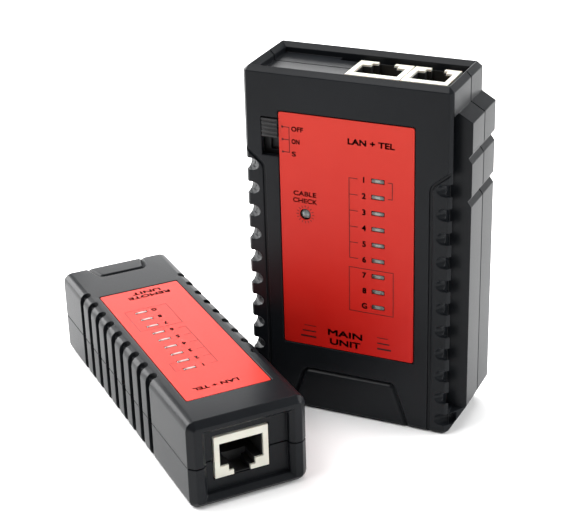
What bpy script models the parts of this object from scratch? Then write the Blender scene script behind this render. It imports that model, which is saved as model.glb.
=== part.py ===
"""Network cable tester: a main unit that stands on its base and a remote unit that lies on its back.

Frame: metres, +Z up, origin at the middle of the main unit's base, main label facing -Y.
The main unit's docking rail is on its +X side. The remote unit has its own empty: there, x runs
across it, y runs along it from the jack end, and z goes up from its back.
"""
import math

import bmesh
import bpy
from mathutils import Matrix, Vector

# ------------------------------------------------------------------ driving sizes, in metres
GAP = 0.0003               # clearance between pieces that seat against or beside each other
OVER = 0.001               # how far a cutter runs past the face that it opens
WALL = 0.002
TOP_PLATE = 0.002
EMBED = WALL / 4           # how far a rib or boss runs into the wall that it stands on
RIB_THICK = 0.0015

MAIN_WIDTH = 0.0605
MAIN_DEPTH = 0.026
MAIN_HEIGHT = 0.104
MAIN_PARTING = 0.0021      # depth of the joint between front and rear shells, from the middle
RIM_CHAMFER = 0.0015
EDGE_CHAMFER = 0.001
RIM_RECESS = 0.003         # depth of the tray that the jacks look out of
JACK_SINK = 0.0024         # jack face below the rim

RAIL_HEIGHT = 0.004        # docking rail, out from the side
RAIL_FRONT = -0.0081
RAIL_BACK = 0.012
RAIL_TOP_DROP = 0.0083     # rail's upper end below the rim
RAIL_SLOPE = 0.0024
RAIL_FOOT = 0.0078
CHANNEL_DEPTH = 0.002      # slot between the front grip and the rail
CHANNEL_LIP = 0.0011
DETENT_DROPS = (0.0208, 0.0332)
DETENT_HALF = 0.0015
DETENT_DEPTH = 0.0011

LABEL_THICK = 0.0004
LABEL_SINK = 0.0001        # label face below the shell face
LABEL_CORNER = 0.0006
MAIN_LABEL_WIDTH = 0.0394
MAIN_LABEL_BOTTOM = 0.02135
MAIN_LABEL_DROP = 0.01225  # label's upper edge below the rim

GRIP_INSET = 0.00575       # groove's centre in from the side
GRIP_DROP = 0.0238         # groove's start below the rim
GRIP_WIDTH = 0.0012
GRIP_DEPTH = 0.0006
SCALLOP_RADIUS = 0.0018
SCALLOP_PITCH = 0.00704    # about this far apart, spread evenly between the two
SCALLOP_DROP = 0.0288      # centre of the upper scallop below the rim
SCALLOP_FOOT = 0.0048      # centre of the lowest scallop above the base
SCALLOP_REACH = 0.00425    # how far a scallop runs in over the front face

PANEL_HALF_TOP = 0.0136    # lower panel outline, a trapezium that runs off the base
PANEL_HALF_FOOT = 0.0184
PANEL_HEIGHT = 0.0131
PANEL_CORNER = 0.0016
V_WIDTH = 0.0014
V_DEPTH = 0.0009

SWITCH_WIDTH = 0.0053      # window
SWITCH_WINDOW = 0.0113
SWITCH_DROP = 0.0142       # window's upper edge below the rim
SWITCH_TRAVEL = 0.0054
SWITCH_PROUD = 0.0004
CAN_SIDE = 0.0006          # switch body beyond the window, each side
CAN_SINK = 0.0013          # switch body behind the shell's inner face
TONGUE = 0.0018            # knob's tongue: width and half height
TONGUE_DEPTH = 0.0008
RIDGE_COUNT = 4            # finger grooves across the knob
RIDGE_PITCH = 0.0012
RIDGE_RADIUS = 0.0004

LED_WIDTH = 0.0033
LED_HEIGHT = 0.0008
LED_COUNT = 9
MAIN_LED_X = 0.0093
MAIN_LED_DROP = 0.0288     # first lamp below the rim
MAIN_LED_ABOVE_BOARD = 0.0036
POWER_LED_X = -0.0123
POWER_LED_DROP = 0.0417
POWER_LED_RADIUS = 0.0014

JACK_DEEP = 0.0127         # latch side to contact side
JACK_LENGTH = 0.015
LAN_JACK_WIDTH = 0.0158
PHONE_JACK_WIDTH = 0.01325
JACK_FRONT = -0.0043
JACK_MARGIN = 0.00455      # phone jack's side in from the main unit's side
JACK_SIDE_WALL = 0.0016
JACK_TOP_WALL = 0.0024
BACK_SLOT_REACH = 0.006    # slot behind the jacks, beyond them on the far side
JACK_MOUTH = 0.007         # plug opening, without its latch steps
LATCH_STEPS = (0.00185, 0.00145)
WIRE_PITCH = 0.00102

BOARD_THICK = 0.0016
BOARD_EDGE = 0.0006
BATTERY_LENGTH = 0.0464
BATTERY_HEIGHT = 0.0265
BATTERY_THICK = 0.0175
TERMINAL_HEIGHT = 0.0021
SNAP_THICK = 0.0015
BATTERY_FLOOR = 0.0044
BATTERY_CORNER = 0.0022
TERMINAL_SPREAD = 0.00635  # terminals' centres from the battery's middle
TERMINAL_RADIUS = 0.0028
SNAP_CORNER = 0.003
LEAD_RADIUS = 0.0006
LEAD_APART = 0.0025
CHIP_THICK = 0.0018
CHIP_DEEP = 0.005
CHIP_STEP = 0.0013         # one leg's share of a chip's length
LEDGE = 0.001              # step that the battery door seats on
DOOR_SIDE = 0.0034         # door opening in from the main unit's sides
THUMB_COUNT = 4            # grooves that a thumb pushes the door with
THUMB_PITCH = 0.0018
THUMB_DROP = 0.004         # first groove below the door's upper edge
THUMB_HALF = (0.007, 0.0005)
THUMB_DEPTH = 0.0005

BOSS_RADIUS = 0.0042
PIN_RADIUS = 0.003
SCREW_RADIUS = 0.0012
HEAD_RADIUS = 0.0027
HEAD_THICK = 0.0016
HEAD_SEAT = 0.006          # main screws' heads seat this far behind the middle
MAIN_SCREW_INSET = 0.00775
MAIN_SCREW_LOW = 0.0042    # lower screws above the board's lower edge
MAIN_SCREW_DROP = 0.034

REMOTE_WIDTH = 0.0345
REMOTE_THICK = 0.0265
REMOTE_LENGTH = 0.104
REMOTE_PARTING = 0.0126
REMOTE_TURN = math.radians(49.2)
REMOTE_CLEARANCE = 0.0052  # from its side to the main unit's corner
REMOTE_LEAD = 0.048        # how far its jack end lies ahead of that corner
TOP_ROUND = 0.0026
FOOT_ROUND = 0.0026
END_CHAMFER = 0.0017
REMOTE_RECESS = 0.0026
REMOTE_RECESS_SIDE = 0.0051
REMOTE_RECESS_TOP = 0.0042
REMOTE_RECESS_FOOT = 0.0034
REMOTE_BEVEL = 0.0012
REMOTE_JACK_SINK = 0.0022
REMOTE_JACK_X = -0.00145
REMOTE_JACK_Z = 0.0069
REMOTE_LABEL_WIDTH = 0.0248
REMOTE_LABEL_NEAR = 0.0124
REMOTE_LABEL_FAR = 0.0217  # label's far edge in from the far end
REMOTE_LED_X = -0.0048
REMOTE_LED_NEAR = 0.0289
REMOTE_LED_FAR = 0.0369    # last lamp in from the far end
GROOVE_WIDTH = 0.0028
GROOVE_DEPTH = 0.0014
GROOVE_REACH = 0.0031      # how far a groove runs in over the top face
GROOVE_PITCH = 0.007
GROOVE_NEAR = 0.02965
GROOVE_FAR = 0.01835
REMOTE_PANEL_TOP = 0.0072  # far panel outline, half widths and reach in from the far end
REMOTE_PANEL_FOOT = 0.0092
REMOTE_PANEL_REACH = 0.0077
DOCK_PLAY = 0.00045
DOCK_DEPTH = 0.0044
DOCK_START = 0.0086
REMOTE_SCREWS = ((0.0045, 0.024), (-0.002, REMOTE_LENGTH - 0.012))

REMOTE_SEAT = 0.005        # screw heads seat this far up from the back

ROUND_STEPS = 16

# ------------------------------------------------------------------ derived places
half_width = MAIN_WIDTH / 2
half_depth = MAIN_DEPTH / 2
front_face = -half_depth
tray_floor = MAIN_HEIGHT - RIM_RECESS
main_ceiling = tray_floor - TOP_PLATE
jack_top = MAIN_HEIGHT - JACK_SINK
phone_x = half_width - JACK_MARGIN - PHONE_JACK_WIDTH / 2
lan_x = phone_x - PHONE_JACK_WIDTH / 2 - GAP - LAN_JACK_WIDTH / 2
jack_y = JACK_FRONT + JACK_DEEP / 2
board_back = JACK_FRONT - GAP
board_front = board_back - BOARD_THICK
battery_top = BATTERY_FLOOR + BATTERY_HEIGHT
divider_floor = battery_top + GAP + 0.0002
board_floor = divider_floor + 0.0015 + 0.0005
main_label_top = MAIN_HEIGHT - MAIN_LABEL_DROP
main_led_top = MAIN_HEIGHT - MAIN_LED_DROP
main_led_pitch = (main_led_top - board_floor - MAIN_LED_ABOVE_BOARD) / (LED_COUNT - 1)
switch_right = -MAIN_LABEL_WIDTH / 2
switch_x = switch_right - SWITCH_WIDTH / 2
switch_top = MAIN_HEIGHT - SWITCH_DROP
knob_height = SWITCH_WINDOW - SWITCH_TRAVEL - 2 * GAP
knob_z = switch_top - GAP - knob_height / 2
rail_top = MAIN_HEIGHT - RAIL_TOP_DROP
main_screw_x = half_width - MAIN_SCREW_INSET
main_screw_zs = (board_floor + MAIN_SCREW_LOW, MAIN_HEIGHT - MAIN_SCREW_DROP)
dock_low = (REMOTE_THICK - (RAIL_BACK - RAIL_FRONT)) / 2 - DOCK_PLAY
dock_high = REMOTE_THICK - dock_low
remote_half = REMOTE_WIDTH / 2
remote_board_floor = REMOTE_JACK_Z + JACK_DEEP + GAP
remote_board_top = remote_board_floor + BOARD_THICK
remote_led_far = REMOTE_LENGTH - REMOTE_LED_FAR
remote_led_pitch = (remote_led_far - REMOTE_LED_NEAR) / (LED_COUNT - 1)

# ------------------------------------------------------------------ scene and materials
for old in list(bpy.data.objects):
    bpy.data.objects.remove(old)

parts = bpy.data.collections.new("network_cable_tester")
cutters = bpy.data.collections.new("cutters")
bpy.context.scene.collection.children.link(parts)
bpy.context.scene.collection.children.link(cutters)


def material(name, colour, roughness, metallic=0.0):
    made = bpy.data.materials.new(name)
    made.use_nodes = True
    shader = made.node_tree.nodes["Principled BSDF"]
    shader.inputs["Base Color"].default_value = (*colour, 1.0)
    shader.inputs["Roughness"].default_value = roughness
    shader.inputs["Metallic"].default_value = metallic
    return made


case_plastic = material("case_plastic", (0.022, 0.024, 0.027), 0.42)
label_film = material("label_film", (0.63, 0.045, 0.03), 0.38)
jack_plastic = material("jack_plastic", (0.75, 0.74, 0.66), 0.5)
contact_gold = material("contact_gold", (0.83, 0.6, 0.22), 0.3, 1.0)
board_green = material("board_green", (0.02, 0.14, 0.05), 0.45)
lamp_resin = material("lamp_resin", (0.5, 0.52, 0.5), 0.2)
chip_black = material("chip_black", (0.012, 0.012, 0.014), 0.5)
steel = material("steel", (0.6, 0.6, 0.62), 0.32, 1.0)
knob_black = material("knob_black", (0.02, 0.02, 0.022), 0.5)
battery_wrap = material("battery_wrap", (0.05, 0.09, 0.22), 0.35)
snap_black = material("snap_black", (0.015, 0.015, 0.016), 0.6)
lead_red = material("lead_red", (0.5, 0.02, 0.015), 0.5)
lead_black = material("lead_black", (0.012, 0.012, 0.012), 0.5)


# ------------------------------------------------------------------ modelling helpers
def empty(name, place=(0, 0, 0), turn=0.0):
    made = bpy.data.objects.new(name, None)
    made.location = place
    made.rotation_euler = (0, 0, turn)
    parts.objects.link(made)
    return made


def put(name, shape, unit, look=None, frame=None):
    """Make a bmesh an object under a unit's empty: a part if it has a look, else a cutter."""
    bmesh.ops.recalc_face_normals(shape, faces=shape.faces)
    mesh = bpy.data.meshes.new(name)
    shape.to_mesh(mesh)
    shape.free()
    made = bpy.data.objects.new(name, mesh)
    made.parent = unit
    if frame is not None:
        made.matrix_local = frame
    if look is None:
        cutters.objects.link(made)
        made.hide_render = True
        made.display_type = "WIRE"
    else:
        parts.objects.link(made)
        mesh.materials.append(look)
    return made


def combine(target, tool, operation="DIFFERENCE"):
    modifier = target.modifiers.new(tool.name, "BOOLEAN")
    modifier.operation = operation
    modifier.object = tool


def add_box(shape, low, high):
    low, high = Vector(low), Vector(high)
    size = high - low
    made = bmesh.ops.create_cube(shape, size=1.0)["verts"]
    bmesh.ops.scale(shape, vec=size, verts=made)
    bmesh.ops.translate(shape, vec=(low + high) / 2, verts=made)
    return made


def box(low, high):
    shape = bmesh.new()
    add_box(shape, low, high)
    return shape


def add_cylinder(shape, start, end, radius, steps=ROUND_STEPS, far_radius=None):
    start, end = Vector(start), Vector(end)
    along = end - start
    turn = along.to_track_quat("Z", "Y").to_matrix().to_4x4()
    bmesh.ops.create_cone(shape, cap_ends=True, segments=steps, radius1=radius,
                          radius2=radius if far_radius is None else far_radius, depth=along.length,
                          matrix=Matrix.Translation((start + end) / 2) @ turn)


def cylinder(start, end, radius, steps=ROUND_STEPS, far_radius=None):
    shape = bmesh.new()
    add_cylinder(shape, start, end, radius, steps, far_radius)
    return shape


def add_loft(shape, sections, to_space):
    """Extrude a flat outline through like sections, each one a level and its outline."""
    level, outline = sections[0]
    corners = [shape.verts.new(to_space(a, b, level)) for a, b in outline]
    face = shape.faces.new(corners)
    for index, (level, outline) in enumerate(sections[1:]):
        grown = bmesh.ops.extrude_face_region(shape, geom=[face])["geom"]
        if index > 0:
            shape.faces.remove(face)
        face = next(part for part in grown if isinstance(part, bmesh.types.BMFace))
        caps = {vert.co.to_tuple(7): vert for vert in face.verts}
        corners = [caps[vert.co.to_tuple(7)] for vert in corners]
        for vert, (a, b) in zip(corners, outline):
            vert.co = to_space(a, b, level)


def add_prism(shape, outline, to_space, start, end, far_outline=None):
    """Extrude a flat outline from one level to another; the far end may have a narrower outline."""
    add_loft(shape, ((start, outline), (end, far_outline or outline)), to_space)


def prism(outline, to_space, start, end, far_outline=None):
    shape = bmesh.new()
    add_prism(shape, outline, to_space, start, end, far_outline)
    return shape


def rectangle(low, high, grow=0.0):
    return [(low[0] - grow, low[1] - grow), (high[0] + grow, low[1] - grow),
            (high[0] + grow, high[1] + grow), (low[0] - grow, high[1] + grow)]


def flared_pocket(low, high, floor, flare, mouth, to_space):
    """A rectangular pocket whose walls lean out at 45 degrees from one level to its mouth."""
    shape = bmesh.new()
    add_loft(shape, ((floor, rectangle(low, high)), (flare, rectangle(low, high)),
                     (mouth, rectangle(low, high, abs(mouth - flare)))), to_space)
    return shape


def over_front(a, b, level):
    """Outline drawn on the front face: a is x, b is z, level is y."""
    return (a, level, b)


def over_top(a, b, level):
    return (a, b, level)


def over_side(a, b, level):
    """Outline drawn across: a is x, b is z, and the prism runs along y."""
    return (a, level, b)


def rounded(points, radius, steps=4):
    """Replace each inner corner of an open line with an arc of the given radius."""
    line = [Vector(points[0])]
    for before, corner, after in zip(points, points[1:], points[2:]):
        corner = Vector(corner)
        inward = (Vector(before) - corner).normalized()
        onward = (Vector(after) - corner).normalized()
        half_angle = inward.angle(onward) / 2
        back = radius / math.tan(half_angle)
        centre = corner + (inward + onward).normalized() * radius / math.sin(half_angle)
        first = corner + inward * back - centre
        last = corner + onward * back - centre
        for step in range(steps + 1):
            line.append(centre + first.slerp(last, step / steps) * radius)
    line.append(Vector(points[-1]))
    return line


def ribbon(line, width):
    """Closed outline of an open line drawn with a pen of the given width."""
    left, right = [], []
    for index, point in enumerate(line):
        before = line[max(index - 1, 0)]
        after = line[min(index + 1, len(line) - 1)]
        along = (after - before).normalized()
        side = Vector((-along.y, along.x)) * width / 2
        left.append(point + side)
        right.append(point - side)
    return left + right[::-1]


def bevel_edges(shape, chosen, width, steps=1):
    edges = [edge for edge in shape.edges if all(chosen(vert.co) for vert in edge.verts)]
    bmesh.ops.bevel(shape, geom=edges, offset=width, segments=steps, profile=0.5, affect="EDGES")


def near(value, target):
    return abs(value - target) < 1e-6


def rounded_plate(low, high, corner, upright=2, steps=3):
    """A box whose four edges along one axis are rounded."""
    shape = box(low, high)
    edges = [edge for edge in shape.edges
             if abs((edge.verts[0].co - edge.verts[1].co).normalized()[upright]) > 0.9]
    bmesh.ops.bevel(shape, geom=edges, offset=corner, segments=steps, profile=0.5, affect="EDGES")
    return shape


# ------------------------------------------------------------------ main unit: casing
main_unit = empty("main_unit_frame")


def main_block():
    """Outer block with chamfered uprights, rim and base."""
    shape = rounded_plate((-half_width, front_face, 0), (half_width, half_depth, MAIN_HEIGHT),
                          EDGE_CHAMFER, steps=1)
    bevel_edges(shape, lambda co: near(co.z, MAIN_HEIGHT), RIM_CHAMFER)
    bevel_edges(shape, lambda co: near(co.z, 0), EDGE_CHAMFER)
    return shape


rail_out = half_width + RAIL_HEIGHT
rail_root = half_width - CHANNEL_DEPTH / 2
rail_profile = [(rail_root, rail_top), (half_width, rail_top), (rail_out, rail_top - RAIL_SLOPE),
                (rail_out, RAIL_FOOT), (half_width, EDGE_CHAMFER), (rail_root, EDGE_CHAMFER)]
rail = put("rail", prism(rail_profile, over_side, RAIL_FRONT, RAIL_BACK), main_unit)

foot = bmesh.new()
foot_inner = half_width - CHANNEL_DEPTH - EDGE_CHAMFER
foot_front = front_face + EDGE_CHAMFER
foot_back = RAIL_FRONT + EDGE_CHAMFER / 2
for corner in ((foot_inner, foot_front, EDGE_CHAMFER), (foot_inner, foot_back, EDGE_CHAMFER),
               (foot_inner, foot_front, RAIL_FOOT - GRIP_WIDTH), (foot_inner, foot_back, RAIL_FOOT),
               (half_width, foot_front, EDGE_CHAMFER), (half_width, foot_back, EDGE_CHAMFER),
               (half_width, foot_front, RAIL_FOOT - GRIP_WIDTH),
               (rail_out, foot_back, RAIL_FOOT)):
    foot.verts.new(corner)
bmesh.ops.convex_hull(foot, input=foot.verts)
rail_foot = put("rail_foot", foot, main_unit)

channel = put("channel", box((half_width - CHANNEL_DEPTH, front_face + CHANNEL_LIP, RAIL_FOOT),
                             (rail_out + OVER, RAIL_FRONT, rail_top)), main_unit)

detent_shape = bmesh.new()
for drop in DETENT_DROPS:
    middle = MAIN_HEIGHT - drop
    spread = DETENT_HALF * (DETENT_DEPTH + OVER) / DETENT_DEPTH
    notch = [(rail_out - DETENT_DEPTH, middle), (rail_out + OVER, middle - spread),
             (rail_out + OVER, middle + spread)]
    add_prism(detent_shape, notch, over_side, RAIL_FRONT - OVER, RAIL_BACK + OVER)
detents = put("detents", detent_shape, main_unit)

rail_hollow = put("rail_hollow",
                  box((half_width - 2 * WALL - CHANNEL_DEPTH, RAIL_FRONT + WALL, RAIL_FOOT + WALL),
                                     (rail_out - WALL, RAIL_BACK - WALL, rail_top - RAIL_SLOPE - WALL)),
                  main_unit)

tray_inset = 2 * RIM_CHAMFER
tray_low = (-half_width + tray_inset, front_face + tray_inset)
tray_high = (half_width - tray_inset, half_depth - tray_inset)
tray = put("tray", flared_pocket(tray_low, tray_high, tray_floor, MAIN_HEIGHT - RIM_CHAMFER,
                                 MAIN_HEIGHT + OVER, over_top), main_unit)

main_cavity = put("main_cavity", box((-half_width + WALL, front_face + WALL, WALL),
                                     (half_width - WALL - CHANNEL_DEPTH, half_depth - WALL, main_ceiling)),
                  main_unit)
jack_left = lan_x - LAN_JACK_WIDTH / 2 - GAP
jack_right = phone_x + PHONE_JACK_WIDTH / 2 + GAP
jack_window = put("jack_window", box((jack_left, JACK_FRONT - GAP, main_ceiling - OVER),
                                     (jack_right, JACK_FRONT + JACK_DEEP + GAP, MAIN_HEIGHT - OVER)), main_unit)
back_slot = put("back_slot",
                box((jack_left - BACK_SLOT_REACH, JACK_FRONT + JACK_DEEP, main_ceiling - OVER),
                    (jack_right + OVER / 2, half_depth - tray_inset, tray_floor + OVER)), main_unit)

label_pocket_depth = LABEL_SINK + LABEL_THICK + GAP
main_label_half = MAIN_LABEL_WIDTH / 2
label_pocket = put("label_pocket",
                   rounded_plate((-main_label_half - GAP, front_face - OVER, MAIN_LABEL_BOTTOM - GAP),
                                 (main_label_half + GAP, front_face + label_pocket_depth, main_label_top + GAP),
                                 LABEL_CORNER, upright=1), main_unit)
switch_window = put("switch_window",
                    box((switch_right - SWITCH_WIDTH, front_face - OVER, switch_top - SWITCH_WINDOW),
                        (switch_right, front_face + WALL + OVER, switch_top)), main_unit)

main_led_zs = [main_led_top - row * main_led_pitch for row in range(LED_COUNT)]
window_half = (LED_WIDTH / 2 + GAP, LED_HEIGHT / 2 + GAP)
lamp_holes = bmesh.new()
for z in main_led_zs:
    add_box(lamp_holes, (MAIN_LED_X - window_half[0], front_face - OVER, z - window_half[1]),
            (MAIN_LED_X + window_half[0], front_face + WALL + OVER, z + window_half[1]))
power_led_z = MAIN_HEIGHT - POWER_LED_DROP
add_cylinder(lamp_holes, (POWER_LED_X, front_face - OVER, power_led_z),
             (POWER_LED_X, front_face + WALL + OVER, power_led_z), POWER_LED_RADIUS + GAP)
main_lamp_holes = put("main_lamp_holes", lamp_holes, main_unit)

grooves = bmesh.new()
grip_x = half_width - GRIP_INSET
grip_start = MAIN_HEIGHT - GRIP_DROP
for side in (-1, 1):
    path = [(side * (half_width + OVER), grip_start + OVER),
            (side * grip_x, grip_start - 0.8 * GRIP_INSET), (side * grip_x, -OVER)]
    line = rounded(path, 0.003)
    add_prism(grooves, ribbon(line, GRIP_WIDTH), over_front, front_face - OVER, front_face + GRIP_DEPTH,
              ribbon(line, GRIP_WIDTH * 0.7))
panel_path = rounded([(-PANEL_HALF_FOOT, -OVER), (-PANEL_HALF_TOP, PANEL_HEIGHT),
                      (PANEL_HALF_TOP, PANEL_HEIGHT), (PANEL_HALF_FOOT, -OVER)], PANEL_CORNER)
add_prism(grooves, ribbon(panel_path, V_WIDTH * (1 + OVER / V_DEPTH)), over_front, front_face - OVER,
          front_face + V_DEPTH, ribbon(panel_path, V_WIDTH * 0.15))
front_grooves = put("front_grooves", grooves, main_unit)

scallops = bmesh.new()
scallop_top = MAIN_HEIGHT - SCALLOP_DROP
scallop_gaps = round((scallop_top - SCALLOP_FOOT) / SCALLOP_PITCH)
scallop_pitch = (scallop_top - SCALLOP_FOOT) / scallop_gaps
axis_shift = SCALLOP_RADIUS / math.sqrt(2)
axis_reach = SCALLOP_REACH + OVER * 2.25   # past the side, and short of the rail's front
for row in range(scallop_gaps + 1):
    z = scallop_top - row * scallop_pitch
    for side in (-1, 1):
        inner = half_width - SCALLOP_REACH + axis_shift - OVER * 2
        add_cylinder(scallops, (side * inner, front_face - axis_shift - OVER * 2, z),
                     (side * (inner + axis_reach), front_face - axis_shift - OVER * 2 + axis_reach, z),
                     SCALLOP_RADIUS)
grip_scallops = put("grip_scallops", scallops, main_unit)


def boss(name, x, z, start, end, radius, unit):
    return put(name, cylinder((x, start, z), (x, end, z), radius), unit)


front_end = MAIN_PARTING - GAP / 2
rear_start = MAIN_PARTING + GAP / 2
front_inner = front_face + WALL
rear_inner = half_depth - WALL
main_screw_places = [(side * main_screw_x, z) for z in main_screw_zs for side in (-1, 1)]

front_shell = put("main_front_shell", main_block(), main_unit, case_plastic)
combine(front_shell, rail, "UNION")
combine(front_shell, rail_foot, "UNION")
combine(front_shell, put("behind_front",
                         box((-half_width - OVER, front_end, -OVER),
                             (rail_out + OVER, half_depth + OVER, MAIN_HEIGHT + OVER)), main_unit))
for tool in (channel, detents, tray, main_cavity, rail_hollow, jack_window, label_pocket,
             switch_window, main_lamp_holes, front_grooves, grip_scallops):
    combine(front_shell, tool)
battery_front = rear_inner - GAP - 0.0003 - BATTERY_THICK
ribs = bmesh.new()
for side in (-1, 1):
    x = side * BATTERY_LENGTH / 4
    add_box(ribs, (x - RIB_THICK / 2, front_inner - EMBED, WALL - EMBED),
            (x + RIB_THICK / 2, battery_front - GAP, battery_top))
battery_ribs = put("battery_ribs", ribs, main_unit)
combine(front_shell, battery_ribs, "UNION")
floor_ribs_shape = bmesh.new()
for side in (-1, 1):
    x = side * BATTERY_LENGTH / 4
    add_box(floor_ribs_shape, (x - RIB_THICK / 2, front_inner, WALL - EMBED),
            (x + RIB_THICK / 2, front_end, BATTERY_FLOOR - GAP))
combine(front_shell, put("floor_ribs", floor_ribs_shape, main_unit), "UNION")
for index, (x, z) in enumerate(main_screw_places, 1):
    shoulder = boss(f"shoulder_{index}", x, z, front_inner - EMBED, board_front - GAP, BOSS_RADIUS, main_unit)
    pin = boss(f"pin_{index}", x, z, front_inner - EMBED, front_end, PIN_RADIUS, main_unit)
    combine(front_shell, shoulder, "UNION")
    combine(front_shell, pin, "UNION")
    pilot = boss(f"pilot_{index}", x, z, board_front - OVER, half_depth, SCREW_RADIUS + GAP, main_unit)
    combine(front_shell, pilot)

rear_shell = put("main_rear_shell", main_block(), main_unit, case_plastic)
combine(rear_shell, rail, "UNION")
combine(rear_shell, put("before_rear", box((-half_width - OVER, front_face - OVER, -OVER),
                                           (rail_out + OVER, rear_start, MAIN_HEIGHT + OVER)), main_unit))
for tool in (detents, tray, main_cavity, rail_hollow, jack_window, back_slot):
    combine(rear_shell, tool)
divider = put("divider", box((-half_width + WALL - EMBED, rear_start, divider_floor),
                             (half_width - WALL - CHANNEL_DEPTH + EMBED, rear_inner + EMBED,
                              divider_floor + RIB_THICK)), main_unit)
combine(rear_shell, divider, "UNION")
for index, (x, z) in enumerate(main_screw_places, 1):
    rear_boss = boss(f"rear_boss_{index}", x, z, rear_start, rear_inner + EMBED, BOSS_RADIUS, main_unit)
    combine(rear_shell, rear_boss, "UNION")
    combine(rear_shell, boss(f"rear_hole_{index}", x, z, rear_start - OVER, HEAD_SEAT + OVER,
                             SCREW_RADIUS + GAP, main_unit))
    combine(rear_shell, boss(f"counterbore_{index}", x, z, HEAD_SEAT, half_depth + OVER,
                             HEAD_RADIUS + GAP, main_unit))

# ------------------------------------------------------------------ main unit: battery door
door_half = half_width - DOOR_SIDE
door_low = BATTERY_FLOOR - GAP - LEDGE
door_high = battery_top + GAP + LEDGE
ledge_depth = half_depth - WALL / 2
combine(rear_shell, put("door_rebate", box((-door_half, ledge_depth, door_low),
                                           (door_half, half_depth + OVER, door_high)), main_unit))
combine(rear_shell, put("door_opening", box((-door_half + LEDGE, front_end, door_low + LEDGE),
                                            (door_half - LEDGE, half_depth, door_high - LEDGE)), main_unit))
door_place = Matrix.Translation((0, half_depth, (door_low + door_high) / 2))
door_rise = (door_high - door_low) / 2
door = put("main_battery_door",
           box((-door_half + GAP, ledge_depth + GAP - half_depth, -door_rise + GAP),
               (door_half - GAP, 0, door_rise - GAP)), main_unit, case_plastic, door_place)
combine(door, put("door_plug", box((-door_half + LEDGE + GAP, -WALL, -door_rise + LEDGE + GAP),
                                   (door_half - LEDGE - GAP, -WALL / 4, door_rise - LEDGE - GAP)),
                  main_unit, frame=door_place), "UNION")
thumb = bmesh.new()
for row in range(THUMB_COUNT):
    z = door_rise - THUMB_DROP - row * THUMB_PITCH
    add_box(thumb, (-THUMB_HALF[0], -THUMB_DEPTH, z - THUMB_HALF[1]), (THUMB_HALF[0], OVER, z + THUMB_HALF[1]))
combine(door, put("door_thumb_grooves", thumb, main_unit, frame=door_place))

# ------------------------------------------------------------------ main unit: label, switch and lamps
label_front = front_face + LABEL_SINK
main_label = put("main_label",
                 rounded_plate((-main_label_half, label_front, MAIN_LABEL_BOTTOM),
                               (main_label_half, label_front + LABEL_THICK, main_label_top),
                               LABEL_CORNER, upright=1), main_unit, label_film)
combine(main_label, main_lamp_holes)

can_front = front_inner + CAN_SINK
switch_body = put("main_switch_body",
                  box((switch_x - SWITCH_WIDTH / 2 - CAN_SIDE, can_front,
                       switch_top - SWITCH_WINDOW - CAN_SIDE * 2),
                      (switch_right + CAN_SIDE, board_front - GAP, switch_top + CAN_SIDE * 2)),
                  main_unit, knob_black)
knob_low_z = knob_z - SWITCH_TRAVEL
combine(switch_body, put("switch_slot",
                         box((switch_x - TONGUE / 2 - GAP, can_front - OVER, knob_low_z - TONGUE - GAP),
                             (switch_x + TONGUE / 2 + GAP, can_front + TONGUE_DEPTH + GAP,
                              knob_z + TONGUE + GAP)), main_unit))
knob_place = Matrix.Translation((switch_x, front_face, knob_z))
knob_half = SWITCH_WIDTH / 2 - GAP
knob = put("main_switch_knob", box((-knob_half, -SWITCH_PROUD, -knob_height / 2),
                                   (knob_half, can_front - GAP - front_face, knob_height / 2)),
           main_unit, knob_black, knob_place)
combine(knob, put("knob_tongue", box((-TONGUE / 2, WALL, -TONGUE),
                                     (TONGUE / 2, can_front + TONGUE_DEPTH - front_face, TONGUE)),
                  main_unit, frame=knob_place), "UNION")
ridges = bmesh.new()
ridge_axis = -SWITCH_PROUD - RIDGE_RADIUS / 4
for row in range(RIDGE_COUNT):
    z = (row - (RIDGE_COUNT - 1) / 2) * RIDGE_PITCH
    add_cylinder(ridges, (-knob_half - OVER, ridge_axis, z), (knob_half + OVER, ridge_axis, z), RIDGE_RADIUS, 8)
combine(knob, put("knob_ridges", ridges, main_unit, frame=knob_place))

lamp_names = [str(number) for number in range(1, LED_COUNT)] + ["g"]


def lamp(name, unit, low, high, out_axis):
    """Flat lamp: a resin block with a small bevel round its face."""
    shape = box(low, high)
    face_level = low[out_axis] if out_axis == 1 else high[out_axis]
    bevel_edges(shape, lambda co: near(co[out_axis], face_level), 0.0002)
    return put(name, shape, unit, lamp_resin)


for lamp_name, z in zip(lamp_names, main_led_zs):
    lamp(f"main_led_{lamp_name}", main_unit,
         (MAIN_LED_X - LED_WIDTH / 2, front_face, z - LED_HEIGHT / 2),
         (MAIN_LED_X + LED_WIDTH / 2, board_front - GAP, z + LED_HEIGHT / 2), 1)

power_led = put("main_power_led", cylinder((POWER_LED_X, front_face + POWER_LED_RADIUS * 0.6, power_led_z),
                                           (POWER_LED_X, board_front - GAP, power_led_z), POWER_LED_RADIUS),
                main_unit, lamp_resin)
dome = bmesh.new()
bmesh.ops.create_uvsphere(dome, u_segments=ROUND_STEPS, v_segments=8, radius=POWER_LED_RADIUS * 0.98,
                          matrix=Matrix.Translation((POWER_LED_X, front_face + POWER_LED_RADIUS, power_led_z))
                          @ Matrix.Rotation(math.pi / 2, 4, "X"))
combine(power_led, put("power_led_dome", dome, main_unit), "UNION")

# ------------------------------------------------------------------ main unit: board, chips and screws
board_low = (-half_width + WALL + BOARD_EDGE, board_front, board_floor)
board_high = (half_width - WALL - CHANNEL_DEPTH - BOARD_EDGE, board_back, main_ceiling - BOARD_EDGE)
main_board = put("main_circuit_board", box(board_low, board_high), main_unit, board_green)
for index, (x, z) in enumerate(main_screw_places, 1):
    combine(main_board, boss(f"board_hole_{index}", x, z, board_front - OVER, board_back + OVER,
                             PIN_RADIUS + GAP, main_unit))


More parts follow.
